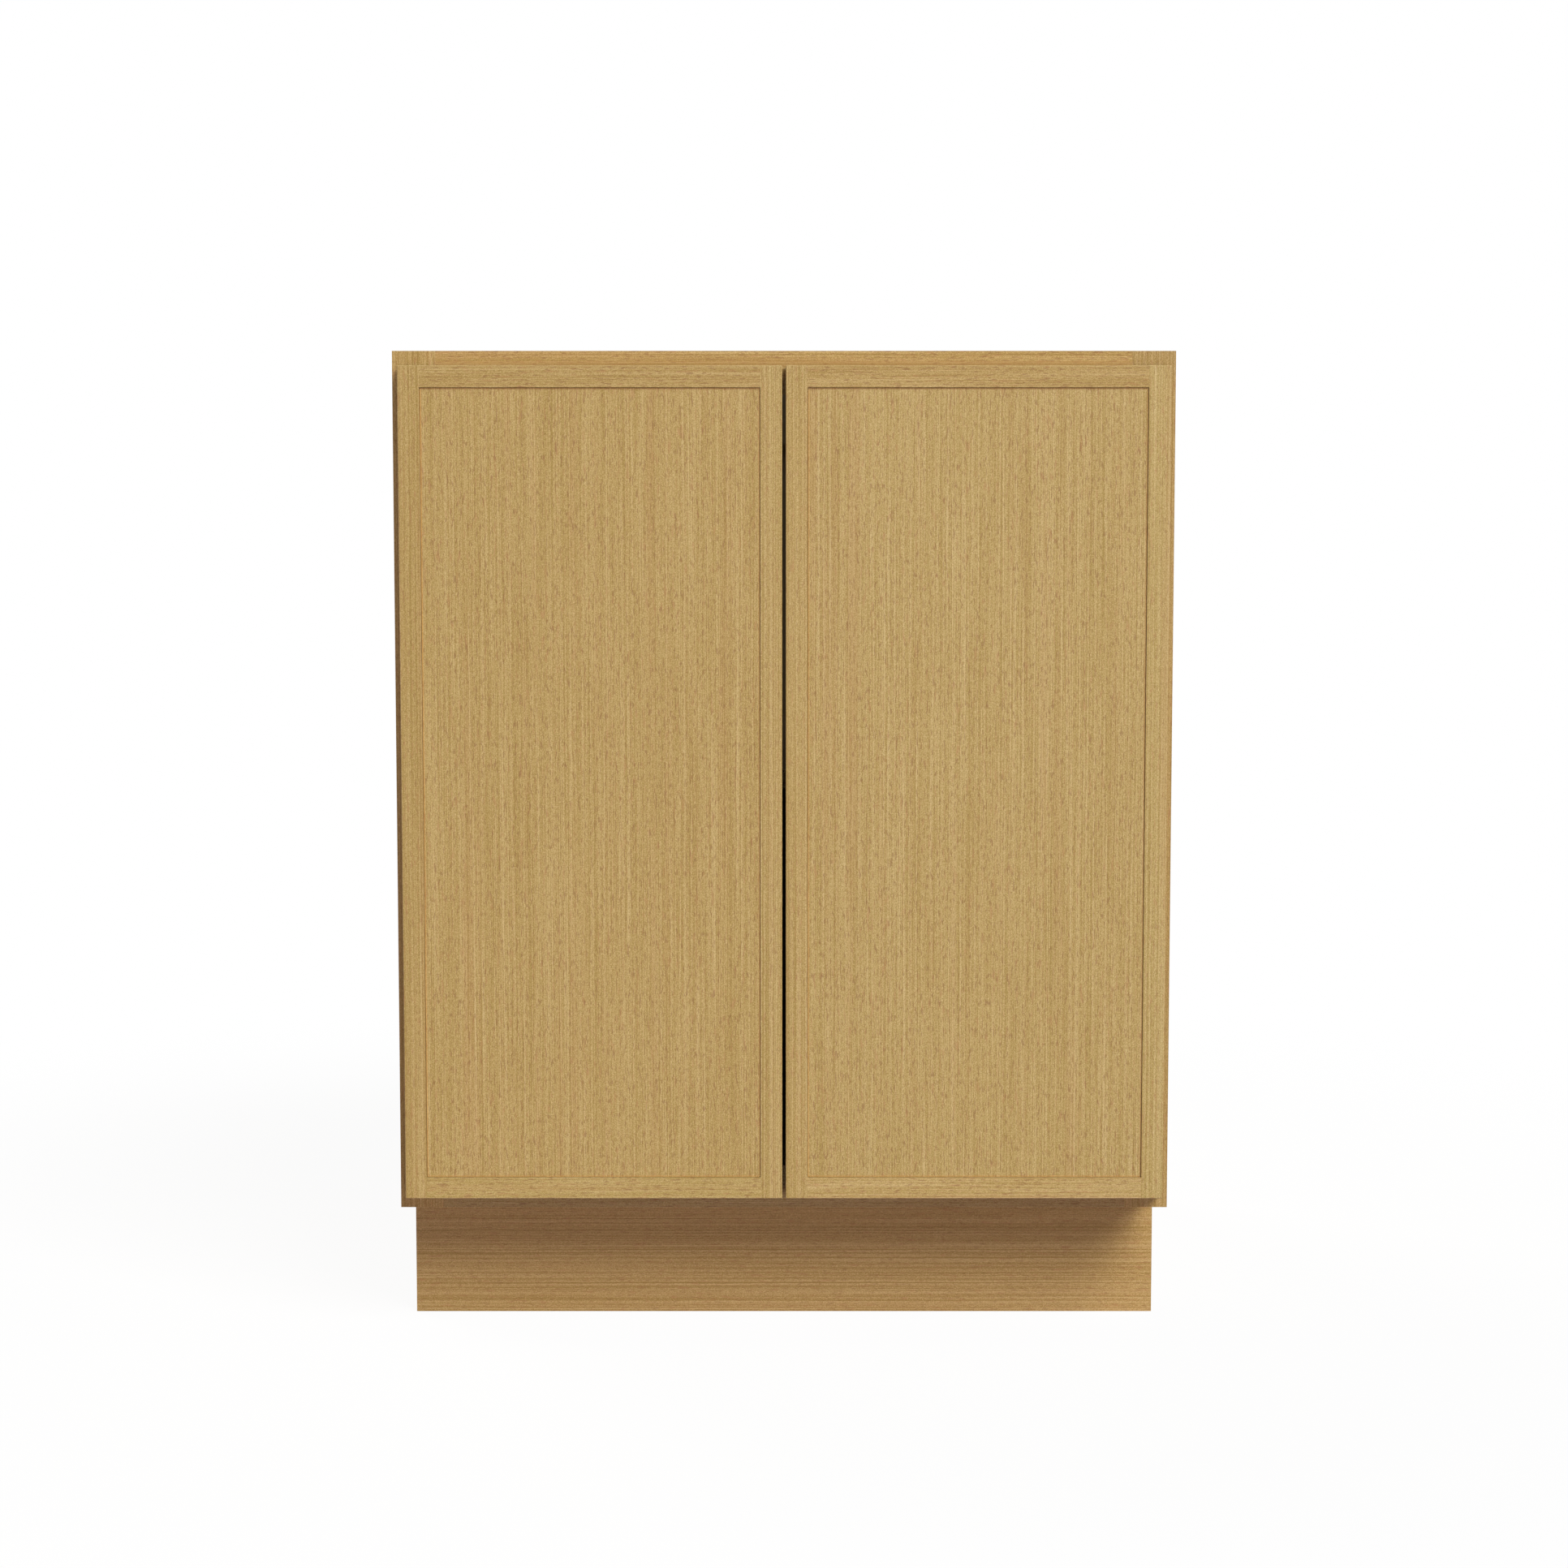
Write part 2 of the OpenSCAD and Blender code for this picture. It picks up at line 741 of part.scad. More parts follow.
module door_top_rail(side) {
    color(OAK_EDGE) on_door(side)
        translate([0, 0, door_h])
            mirror([0, 0, 1]) rail_form();
}

// Flat veneered panel, flush behind, with a tongue all round
module door_panel(side) {
    color(OAK) on_door(side) difference() {
        union() {
            block([border_w + panel_gap, door_w - border_w - panel_gap], [-panel_front_v, -door_standoff],
                [border_w + panel_gap, door_h - border_w - panel_gap]);
            tongue_block(tongue_l - fit, 0);
        }
        cup_cuts();
    }
}

// Domed bumpers on the door's back, over the frame's rails
module door_bumpers(side) {
    color(RUBBER) on_door(side)
        for (z = bumper_zs)
            translate([bumper_u, -door_standoff, z])
                rotate([-90, 0, 0])
                    rotate_extrude() intersection() {
                        square([bumper_d / 2, bumper_h]);
                        translate([0, bumper_h - bumper_dome_r]) circle(r = bumper_dome_r);
                    }
}

side_panel(LEFT);  // left_side
side_panel(RIGHT);  // right_side
deck();
back_panel();
hanging_rail(case_h);  // upper_hanging_rail
hanging_rail(deck_z);  // lower_hanging_rail
toe_backer();
toe_board();
frame_stile(LEFT);  // left_frame_stile
frame_stile(RIGHT);  // right_frame_stile
frame_rail(case_h - rail_h);  // top_frame_rail
frame_rail(toe_h);  // bottom_frame_rail
frame_dowels();
front_brace(LEFT);  // front_left_brace
front_brace(RIGHT);  // front_right_brace
rear_brace(LEFT);  // rear_left_brace
rear_brace(RIGHT);  // rear_right_brace
brace_screws();
shelf();
shelf_edge();
shelf_pins();
hinge_plate(LEFT, UPPER);  // left_upper_plate
hinge_plate(LEFT, LOWER);  // left_lower_plate
hinge_plate(RIGHT, UPPER);  // right_upper_plate
hinge_plate(RIGHT, LOWER);  // right_lower_plate
plate_screws();
hinge_arm(LEFT, UPPER);  // left_upper_arm
hinge_arm(LEFT, LOWER);  // left_lower_arm
hinge_arm(RIGHT, UPPER);  // right_upper_arm
hinge_arm(RIGHT, LOWER);  // right_lower_arm
arm_screws();
hinge_stile(LEFT);  // left_door_hinge_stile
latch_stile(LEFT);  // left_door_latch_stile
door_top_rail(LEFT);  // left_door_top_rail
door_bottom_rail(LEFT);  // left_door_bottom_rail
door_panel(LEFT);  // left_door_panel
hinge_cup(LEFT, UPPER);  // left_upper_cup
hinge_cup(LEFT, LOWER);  // left_lower_cup
hinge_pin(LEFT, UPPER);  // left_upper_pin
hinge_pin(LEFT, LOWER);  // left_lower_pin
cup_screws(LEFT);  // left_cup_screws
door_bumpers(LEFT);  // left_door_bumpers
hinge_stile(RIGHT);  // right_door_hinge_stile
latch_stile(RIGHT);  // right_door_latch_stile
door_top_rail(RIGHT);  // right_door_top_rail
door_bottom_rail(RIGHT);  // right_door_bottom_rail
door_panel(RIGHT);  // right_door_panel
hinge_cup(RIGHT, UPPER);  // right_upper_cup
hinge_cup(RIGHT, LOWER);  // right_lower_cup
hinge_pin(RIGHT, UPPER);  // right_upper_pin
hinge_pin(RIGHT, LOWER);  // right_lower_pin
cup_screws(RIGHT);  // right_cup_screws
door_bumpers(RIGHT);  // right_door_bumpers
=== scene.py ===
"""Framed kitchen base cabinet in clear-finished rift oak: finishes, threaded screws and stage."""
import math

import bmesh
import bpy
from mathutils import Matrix, Vector


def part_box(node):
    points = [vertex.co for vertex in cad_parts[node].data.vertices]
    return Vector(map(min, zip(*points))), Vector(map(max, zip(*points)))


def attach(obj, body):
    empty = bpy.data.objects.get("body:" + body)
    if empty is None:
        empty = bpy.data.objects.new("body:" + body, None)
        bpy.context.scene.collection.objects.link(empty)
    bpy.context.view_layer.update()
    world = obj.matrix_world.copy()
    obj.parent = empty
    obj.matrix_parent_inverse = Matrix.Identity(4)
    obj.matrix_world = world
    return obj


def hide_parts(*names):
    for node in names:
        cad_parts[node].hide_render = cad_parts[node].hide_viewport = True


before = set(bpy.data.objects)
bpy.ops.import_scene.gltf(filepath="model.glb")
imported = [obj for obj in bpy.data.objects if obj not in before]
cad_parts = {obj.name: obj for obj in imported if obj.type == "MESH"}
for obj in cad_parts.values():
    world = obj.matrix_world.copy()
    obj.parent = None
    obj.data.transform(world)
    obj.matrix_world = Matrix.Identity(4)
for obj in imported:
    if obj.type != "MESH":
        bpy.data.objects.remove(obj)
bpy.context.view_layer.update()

bl_info = {
    "name": "Oak Base Cabinet",
    "version": (1, 0, 0),
    "blender": (4, 5, 0),
    "location": "View3D > Sidebar > Cabinet",
    "description": "Finishes, screws and stage of a framed oak base cabinet",
    "category": "Add Mesh",
}

MM = 0.001
WHITE = (1, 1, 1)
SIDES = ("left", "right")
LEVELS = ("upper", "lower")

# The face frame's front and the doors' top, which the stage and the oak start from
frame_front_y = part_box("right_frame_stile")[0].y
door_top_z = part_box("left_door_top_rail")[1].z


def linear(hex_colour):
    """An sRGB hex colour as linear red, green and blue."""
    values = [int(hex_colour[i:i + 2], 16) / 255 for i in (1, 3, 5)]
    return [v / 12.92 if v <= 0.04045 else ((v + 0.055) / 1.055) ** 2.4 for v in values]


def colour(name, description, hex_colour):
    """A colour property with an sRGB hex default."""
    return bpy.props.FloatVectorProperty(
        name=name, description=description, default=linear(hex_colour), size=3, min=0, max=1,
        subtype="COLOR")


def length(name, description, millimetres):
    """A length property with its default in millimetres."""
    return bpy.props.FloatProperty(
        name=name, description=description, default=millimetres * MM, min=0,
        unit="LENGTH", subtype="DISTANCE")


def factor(name, description, default):
    """A property from 0 to 1."""
    return bpy.props.FloatProperty(
        name=name, description=description, default=default, min=0, max=1, subtype="FACTOR")


def power(name, description, watts):
    """A light's power."""
    return bpy.props.FloatProperty(
        name=name, description=description, default=watts, min=0, unit="POWER")


def slope(name, description, default):
    """How far a direction goes sideways or upwards for each metre that it goes back or forth."""
    return bpy.props.FloatProperty(name=name, description=description, default=default)


class CabinetOak(bpy.types.PropertyGroup):
    """Rift-sawn oak under satin clear lacquer."""
    base: colour("Wood", "Colour between the streaks", "#C2A564")
    dark: colour("Dark streak", "Late wood of the growth rings", "#A68942")
    pale: colour("Pale streak", "Early wood of the growth rings", "#DDC48A")
    red: colour("Warm wood", "Broad bands and small spots of redder wood", "#BD8A5A")
    pore: colour("Pore", "Open pores, seen as short dark ticks", "#906038")
    streak_w: length("Streak width", "Distance from one growth ring to the next", 0.85)
    streak_l: length("Streak length", "How far a streak runs before it fades", 90)
    line_l: length("Line length", "How far the longest pale and dark lines run", 420)
    band_w: length("Band width", "Width of the broad tone bands", 14)
    band_l: length("Band length", "Length of the broad tone bands", 600)
    pore_w: length("Pore width", "Width of a pore, drawn as wide as it shows", 0.9)
    pore_l: length("Pore length", "Length of a pore", 6)
    speck_w: length("Speck width", "Width of the finest figure", 0.65)
    speck_l: length("Speck length", "Length of the finest figure", 1.0)
    wave: length("Wave", "How far the grain wanders from a straight line", 1.0)
    # Painted warm shade in the creases round each door panel: its colour, share and width
    crease_shade: colour("Crease", "Wood under the lacquer that gathers round the panels", "#D69B4F")
    crease_shade_share: factor("Share of crease", "How much of its colour the crease takes on", 0.35)
    crease_shade_w: length("Crease width", "Width of the warmer wood round a panel", 2.2)
    # Painted shade, darker and warmer, on the frame's top rail just above the doors' top edges: its
    # colour, share and width
    ring: colour("Ring", "Growth ring along the frame's top rail, just above the doors", "#B88E4E")
    rail_shade_share: factor("Share of ring", "How much of its colour the ring takes on", 0.5)
    ring_w: length("Ring width", "Width of that ring", 4)
    # Painted highlight, paler, along the top edge of each door: its share and width
    arris_highlight_share: factor("Share of arris", "How much paler the sanded top arris of a door is", 0.12)
    arris_highlight_w: length("Arris width", "Width of that arris", 1.2)
    roughness: factor("Roughness", "Roughness of the satin lacquer", 0.45)


class CabinetPlywood(bpy.types.PropertyGroup):
    """Birch plywood under satin clear lacquer."""
    face: colour("Face veneer", "Peeled birch face veneer", "#D9C49C")
    face_dark: colour("Face figure", "Darker figure of the face veneer", "#CDB58A")
    long_ply: colour("Long ply", "Edge of a ply that runs along the edge", "#D2BA8E")
    end_ply: colour("End ply", "Edge of a ply that ends at the edge", "#A98A5E")
    ply_t: length("Ply thickness", "Thickness of one ply", 1.4)
    veneer_t: length("Veneer thickness", "Thickness of the face veneer", 0.6)
    figure_w: length("Figure width", "Width of the face veneer's figure", 7)
    figure_l: length("Figure length", "Length of the face veneer's figure", 160)
    roughness: factor("Roughness", "Roughness of the lacquer", 0.42)


class CabinetHardware(bpy.types.PropertyGroup):
    """Hinges, screws, braces and bumpers."""
    nickel: colour("Nickel", "Nickel plate of the hinges", "#C9C5BC")
    zinc: colour("Zinc", "Bright zinc plate of the screws", "#C3C6CA")
    nylon: colour("Nylon", "Moulded corner braces", "#CFCCC4")
    gel: colour("Gel", "Clear soft door bumpers", "#E4E6E2")
    recess_w: length("Recess width", "Width of a screw's cross recess", 0.9)
    recess_l: length("Recess length", "Length of a screw's cross recess", 4.2)
    thread_pitch: length("Thread pitch", "Distance from one thread to the next", 1.6)
    thread_h: length("Thread height", "How far a thread stands out of the shank", 0.45)


class CabinetStage(bpy.types.PropertyGroup):
    """Camera, lights, net and floor."""
    lens: bpy.props.FloatProperty(
        name="Focal length", description="Focal length on a 36 mm sensor", default=85, min=20,
        unit="CAMERA", subtype="DISTANCE_CAMERA")
    camera_back: length("Camera distance", "From the front of the face frame to the camera", 3258.7)
    camera_up: length("Camera height", "From the floor to the camera", 840)
    camera_tilt: bpy.props.FloatProperty(
        name="Camera tilt", description="How far the camera looks down",
        default=math.radians(6.035), subtype="ANGLE")
    light_away: length("Light distance", "From the cabinet to each light", 40000)
    light_size: length("Light size", "Side of each square light", 20500)
    key_power: power("Key power", "Power of the key light", 16350)
    key_side: slope("Key to the side", "Sideways slope of the direction to the key light", 0.65)
    key_rise: slope("Key upwards", "Upward slope of the direction to the key light", 1.02)
    rim_power: power("Rim power", "Power of the light from behind, which lifts the far sides", 9400)
    rim_side: slope("Rim to the side", "Sideways slope of the direction to that light", -0.8)
    rim_rise: slope("Rim upwards", "Upward slope of the direction to that light", 0.4)
    rim_tint: colour("Rim tint", "Colour of the light from behind", "#FFF9EC")
    fill: factor("Fill", "Strength of the even light that comes from the sides", 0.42)
    fill_above: factor("Fill from above", "Strength of the even light from high up", 0.05)
    fill_tint: colour("Fill tint", "Colour of the even light", "#FFF4FF")
    paper: colour("Floor paper", "Colour that the floor throws back on the cabinet", "#C1AAAF")
    net_above: length("Net height", "How far the net hangs above the open top", 1)
    net_pass: factor("Net share", "Share of the lights that the net lets through", 0.03)
    net_fill: factor("Net fill", "Share of the even light that the net lets through", 0.1)
    floor_shadow: factor("Floor shadow", "Share of the floor's own shading that shows", 0.06)


def in_use(sockets, key):
    """The socket of this name or place, among those that a node's settings leave in use."""
    enabled = [socket for socket in sockets if socket.enabled]
    return enabled[key] if isinstance(key, int) else next(s for s in enabled if s.name == key)


def add(tree, kind, inputs=(), out=0, **settings):
    """Adds a node with its settings and inputs, and gives one of its outputs.

    Inputs come in the node's order, or by name. A socket is linked, and a value is set.
    """
    node = tree.nodes.new("ShaderNode" + kind)
    for key, value in settings.items():
        setattr(node, key, value)
    pairs = inputs.items() if isinstance(inputs, dict) else enumerate(inputs)
    for key, value in pairs:
        socket = in_use(node.inputs, key)
        if isinstance(value, bpy.types.NodeSocket):
            tree.links.new(value, socket)
        elif socket.type == "RGBA":
            socket.default_value = [*value, 1]
        else:
            socket.default_value = value
    return in_use(node.outputs, out)


# Settings of a Map Range that rises smoothly from 0 to 1, and of a Mix that mixes colours
SMOOTH = {"interpolation_type": "SMOOTHSTEP"}
COLOURS = {"data_type": "RGBA"}


def along(tree, axis):
    """How far a point lies along this axis."""
    return add(tree, "SeparateXYZ", [add(tree, "TexCoord", out="Object")], out=axis)


def grit(tree, size, detail=2.0):
    """Even noise with features of this real size."""
    place = add(tree, "TexCoord", out="Object")
    return add(tree, "TexNoise", {"Vector": place, "Scale": 1 / size, "Detail": detail})


def new_material(name):
    """An empty procedural material: its node tree and its main shader."""
    material = bpy.data.materials.new(name)
    material.use_nodes = True
    return material, material.node_tree, material.node_tree.nodes["Principled BSDF"]


def bare_material(name):
    """A material without a shader: its node tree, and the socket that takes its surface."""
    material, tree, shader = new_material(name)
    tree.nodes.remove(shader)
    return material, tree, tree.nodes["Material Output"].inputs["Surface"]


def surface(tree, shader, tone, rough):
    """Ties a colour and a roughness to a material's shader."""
    tree.links.new(tone, shader.inputs["Base Color"])
    tree.links.new(rough, shader.inputs["Roughness"])


def emboss(tree, shader, relief, strength, depth):
    """Ties a fine relief of this real depth to a material's shader."""
    bump = add(tree, "Bump", {"Height": relief, "Strength": strength, "Distance": depth})
    tree.links.new(bump, shader.inputs["Normal"])


# Refraction of each clear or moulded surface
LACQUER_IOR = 1.5
NYLON_IOR = 1.53
GEL_IOR = 1.5

# Turn about the grain that keeps faces off the noise's own lattice, where its contrast changes
LATTICE_TURN = 0.65

# How far one board's figure lies from the next one's in the noise
SEED_STEP = (0.613, 0.271, 0.437)


def along_grain(tree, grain, seed):
    """Object coordinates with the grain turned to Z, moved by a seed so that boards differ."""
    tip = {"X": (0, math.pi / 2), "Y": (math.pi / 2, 0), "Z": (0, 0)}[grain]
    return add(tree, "Mapping", {
        "Vector": add(tree, "TexCoord", out="Object"),
        "Location": [step * seed for step in SEED_STEP],
        "Rotation": (*tip, LATTICE_TURN),
    })


def figure(tree, board, width, run, detail=2.0, shift=0.0):
    """Noise stretched along the grain, with features of this real width and run.

    The shift takes each layer's noise from another place, so that no two layers match.
    """
    moved = add(tree, "VectorMath", (board, (shift, -shift, shift)), operation="ADD")
    scaled = add(tree, "VectorMath", (moved, (1 / width, 1 / width, 1 / run)),
                 operation="MULTIPLY")
    return add(tree, "TexNoise", {
        "Vector": scaled, "Scale": 1.0, "Detail": detail, "Roughness": 0.55})


# Share of each layer in the oak's tone
STREAK_SHARE = 0.65
LINE_SHARE = 0.6
SPECK_SHARE = 1.05
BAND_SHARE = 0.15
PALE_LINE_SHARE = 0.2

# Tone between the marks, a little under the middle because the pale lines raise it
QUIET_TONE = 0.475

# Tones at which the wood is at its darkest, between the two and at its palest
TONE_STOPS = (0.1, 0.5, 0.9)

# Levels of the noise from which a mark starts to show and at which it shows in full
PALE_LINE_LEVELS = (0.6, 0.7)
WARM_BAND_LEVELS = (0.5, 0.75)
WARM_SPOT_LEVELS = (0.57, 0.7)
PORE_LEVELS = (0.6, 0.72)

# How much of the redder wood shows, what part of that in its bands, and how much of the pores
WARM_SHARE = 0.45
WARM_BAND_SHARE = 0.4
PORE_SHARE = 0.5

# How much rougher a pore is than the lacquer, and a streak's height as a share of a pore's depth
PORE_ROUGH = 0.12
STREAK_RELIEF = 0.3


def oak_colour(tree, oak, board, coarse=1.0, run=1.0):
    """Rift oak's colour, pores and streaks. Coarse and run widen and lengthen a board's figure."""
    wander = figure(tree, board, oak.band_w, 4 * oak.band_w, detail=1.0, shift=0.91)
    drift = add(tree, "Math", (wander, 0.5), operation="SUBTRACT")
    wavy = add(tree, "VectorMath", (drift, (oak.wave, oak.wave, 0), board),
               operation="MULTIPLY_ADD")
    ring_w = coarse * oak.streak_w
    line_l = run * oak.line_l
    streaks = figure(tree, wavy, ring_w, run * oak.streak_l, detail=1.0)
    lines = figure(tree, wavy, 1.3 * ring_w, line_l, detail=1.0, shift=0.44)
    specks = figure(tree, board, oak.speck_w, oak.speck_l, detail=0.0, shift=0.77)
    bands = figure(tree, board, oak.band_w, oak.band_l, shift=0.31)
    pale_lines = figure(tree, wavy, 0.8 * ring_w, line_l, detail=0.0, shift=0.58)
    pale = add(tree, "MapRange", (pale_lines, *PALE_LINE_LEVELS), **SMOOTH)
    tone = add(tree, "Math", (pale, PALE_LINE_SHARE, QUIET_TONE), operation="MULTIPLY_ADD")
    # Straighter grain has bolder lines and fainter pores
    bold = 0.65 + 0.35 * run
    for layer, share in ((streaks, STREAK_SHARE), (lines, LINE_SHARE * bold),
                         (specks, SPECK_SHARE), (bands, BAND_SHARE)):
        swing = add(tree, "Math", (layer, 0.5), operation="SUBTRACT")
        tone = add(tree, "Math", (swing, share, tone), operation="MULTIPLY_ADD")
    wood = add(tree, "ValToRGB", [tone])
    stops = wood.node.color_ramp.elements
    stops.new(TONE_STOPS[1])
    for stop, position, shade in zip(stops, TONE_STOPS, (oak.dark, oak.base, oak.pale)):
        stop.position = position
        stop.color = [*shade, 1]
    warm_bands = figure(tree, board, 0.7 * oak.band_w, oak.band_l, shift=0.53)
    warm_spots = figure(tree, wavy, 2.4 * oak.streak_w, 2 * oak.pore_l, shift=0.67)
    band = add(tree, "MapRange", (warm_bands, *WARM_BAND_LEVELS), **SMOOTH)
    band = add(tree, "Math", (band, WARM_BAND_SHARE), operation="MULTIPLY")
    spot = add(tree, "MapRange", (warm_spots, *WARM_SPOT_LEVELS), **SMOOTH)
    warmth = add(tree, "Math", (band, spot), operation="MAXIMUM")
    warmth = add(tree, "Math", (warmth, WARM_SHARE), operation="MULTIPLY")
    wood = add(tree, "Mix", (warmth, wood, oak.red), **COLOURS)
    # A real pore is too fine to show, so pores are drawn wider than they are
    ticks = figure(tree, wavy, oak.pore_w, oak.pore_l, detail=0.0, shift=0.19)
    pores = add(tree, "MapRange", (ticks, *PORE_LEVELS), **SMOOTH)
    shown = add(tree, "Math", (pores, PORE_SHARE / bold), operation="MULTIPLY")
    wood = add(tree, "Mix", (shown, wood, oak.pore), **COLOURS)
    return wood, pores, streaks


def toned(tree, wood, outside, share, tone):
    """Wood that takes on a share of another tone, but none where outside is 1."""
    taken = add(tree, "Math", (outside, -share, share), operation="MULTIPLY_ADD")
    return add(tree, "Mix", (taken, wood, tone), **COLOURS)


# How much of the width of the painted warm shade in the creases is at its warmest, and how softly a
# painted band along a rail ends
CREASE_SHADE_CORE = 0.4
BAND_SOFT = 0.3 * MM


def crease_shaded(tree, wood, side):
    """Painted warm shade in the creases round the part of a door's panel that shows."""
    oak = bpy.context.scene.cabinet_oak
    stiles = [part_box(f"{side}_door_{part}_stile") for part in ("hinge", "latch")]
    rails = [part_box(f"{side}_door_{part}_rail") for part in ("bottom", "top")]
    across = sorted(corner.x for box in stiles for corner in box)
    up = sorted(corner.z for box in rails for corner in box)
    nearest = 1.0
    # The inner two of the four edges bound what shows
    for (_, low, high, _), axis in ((across, "X"), (up, "Z")):
        place = along(tree, axis)
        for ends in ((place, low), (high, place)):
            reach = add(tree, "Math", ends, operation="SUBTRACT")
            nearest = add(tree, "Math", (nearest, reach), operation="MINIMUM")
    outside = add(tree, "MapRange", (nearest, CREASE_SHADE_CORE * oak.crease_shade_w, oak.crease_shade_w), **SMOOTH)
    return toned(tree, wood, outside, oak.crease_shade_share, oak.crease_shade)


def banded(tree, wood, heights, share, tone):
    """Wood that takes on some of another tone between two heights."""
    low, high = heights
    reach = (high - low) / 2
    off = add(tree, "Math", (along(tree, "Z"), (low + high) / 2), operation="SUBTRACT")
    away = add(tree, "Math", [off], operation="ABSOLUTE")
    outside = add(tree, "MapRange", (away, reach - BAND_SOFT, reach + BAND_SOFT), **SMOOTH)
    return toned(tree, wood, outside, share, tone)


def oak_material(node, seed):
    """Rift oak veneer, sanded and sprayed with satin lacquer, so that it has a soft even sheen.
    Round the doors it takes painted shade and a painted highlight.
    """
    oak = bpy.context.scene.cabinet_oak
    grain, tint, coarse, run = OAK_BOARDS[node]
    material, tree, shader = new_material("rift_oak_" + node)
    wood, pores, streaks = oak_colour(tree, oak, along_grain(tree, grain, seed), coarse, run)
    wood = add(tree, "Mix", (1.0, wood, linear(tint)), blend_type="MULTIPLY", **COLOURS)
    if node.endswith("_door_panel"):
        # Painted warm shade in the creases round the panel
        wood = crease_shaded(tree, wood, node.split("_")[0])
    elif "_door_" in node and not node.endswith("bottom_rail"):
        # Painted highlight along the top edge of the door's stiles and top rail
        arris_highlight = (door_top_z - oak.arris_highlight_w, door_top_z + MM)
        wood = banded(tree, wood, arris_highlight, oak.arris_highlight_share, oak.pale)
    elif node == "top_frame_rail":
        # Painted shade on the frame's top rail just above the doors' top edges
        ring = (door_top_z - MM, door_top_z + oak.ring_w)
        wood = banded(tree, wood, ring, oak.rail_shade_share, oak.ring)
    shader.inputs["IOR"].default_value = LACQUER_IOR
    rough = add(tree, "Math", (pores, PORE_ROUGH, oak.roughness), operation="MULTIPLY_ADD")
    surface(tree, shader, wood, rough)
    ridges = add(tree, "Math", (streaks, STREAK_RELIEF), operation="MULTIPLY")
    relief = add(tree, "Math", (ridges, pores), operation="SUBTRACT")
    emboss(tree, shader, relief, strength=0.35, depth=0.06 * MM)
    return material


# The face veneer's fine figure beside its broad one: its width, its length and its share
FINE_W = 0.12
FINE_L = 0.15
FINE_SHARE = 0.35

# Levels between which the face veneer turns darker, and parts of a ply where its tone changes
FACE_LEVELS = (0.35, 0.68)
PLY_LEVELS = (0.42, 0.58)

# Fibres on a cut edge: their width, their length, and how much of the darker tone they take on
FIBRE_W = 0.5 * MM
FIBRE_L = 9 * MM
FIBRE_SHARE = 0.3

# How much rougher a cut edge is than a face
EDGE_ROUGH = 0.3


def cut_edge(tree, ply, above, grain, seed):
    """The plies on a cut edge, which run along it or end at it by turns, with their fibres."""
    levels = [ply.ply_t * part for part in PLY_LEVELS]
    into_ply = add(tree, "Math", (above, ply.ply_t), operation="PINGPONG")
    layer = add(tree, "MapRange", (into_ply, *levels), **SMOOTH)
    edge = add(tree, "Mix", (layer, ply.long_ply, ply.end_ply), **COLOURS)
    fibres = figure(tree, along_grain(tree, grain, seed + 0.5), FIBRE_W, FIBRE_L)
    share = add(tree, "Math", (fibres, FIBRE_SHARE), operation="MULTIPLY")
    return add(tree, "Mix", (share, edge, ply.end_ply), **COLOURS)


def plywood_material(name, node, across, grain, seed, oak_outside=False):
    """Birch plywood, lacquered: a quiet face veneer, and plies of two tones on its cut edges."""
    ply = bpy.context.scene.cabinet_plywood
    oak = bpy.context.scene.cabinet_oak
    material, tree, shader = new_material(name)
    axis = "XYZ".index(across)
    low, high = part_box(node)
    depth = along(tree, across)
    above = add(tree, "Math", (depth, low[axis]), operation="SUBTRACT")
    below = add(tree, "Math", (high[axis], depth), operation="SUBTRACT")
    nearest = add(tree, "Math", (above, below), operation="MINIMUM")
    inside = add(tree, "Math", (nearest, ply.veneer_t), operation="GREATER_THAN")
    board = along_grain(tree, grain, seed)
    veil = figure(tree, board, ply.figure_w, ply.figure_l, detail=3.0)
    fine = figure(tree, board, FINE_W * ply.figure_w, FINE_L * ply.figure_l, shift=0.4)
    broad = add(tree, "Math", (veil, 1 - FINE_SHARE), operation="MULTIPLY")
    tone = add(tree, "Math", (fine, FINE_SHARE, broad), operation="MULTIPLY_ADD")
    dark = add(tree, "MapRange", (tone, *FACE_LEVELS), **SMOOTH)
    face = add(tree, "Mix", (dark, ply.face, ply.face_dark), **COLOURS)
    if oak_outside:
        wood = oak_colour(tree, oak, board)[0]
        outside = above if abs(low[axis]) > abs(high[axis]) else below
        veneer = add(tree, "Math", (outside, ply.veneer_t), operation="LESS_THAN")
        face = add(tree, "Mix", (veneer, face, wood), **COLOURS)
    edge = cut_edge(tree, ply, above, grain, seed)
    shader.inputs["IOR"].default_value = LACQUER_IOR
    rough = add(tree, "Math", (inside, EDGE_ROUGH, ply.roughness), operation="MULTIPLY_ADD")
    surface(tree, shader, add(tree, "Mix", (inside, face, edge), **COLOURS), rough)
    emboss(tree, shader, fine, strength=0.15, depth=0.05 * MM)
    return material


def patchy(tree, cloud, base, shade):
    """A colour that darkens to this share of itself where the cloud is high."""
    return add(tree, "Mix", (cloud, base, [shade * value for value in base]), **COLOURS)


# How far the roughness of plated steel swings with its polish, and that of nylon and gel
PLATE_SWING = 0.16
NYLON_SWING = 0.12
GEL_SWING = 0.1


def plated_material(name, base, roughness, polish):
    """Plated steel: a metal with a fine uneven polish of this size, which breaks up highlights."""
    material, tree, shader = new_material(name)
    grain = grit(tree, polish, detail=3.0)
    cloud = add(tree, "MapRange", (grit(tree, 12 * polish), 0.4, 0.7), **SMOOTH)
    shader.inputs["Metallic"].default_value = 1.0
    rough = add(tree, "Math", (grain, PLATE_SWING, roughness - PLATE_SWING / 2),
                operation="MULTIPLY_ADD")
    surface(tree, shader, patchy(tree, cloud, base, 0.82), rough)
    emboss(tree, shader, grain, strength=0.08, depth=0.03 * MM)
    return material


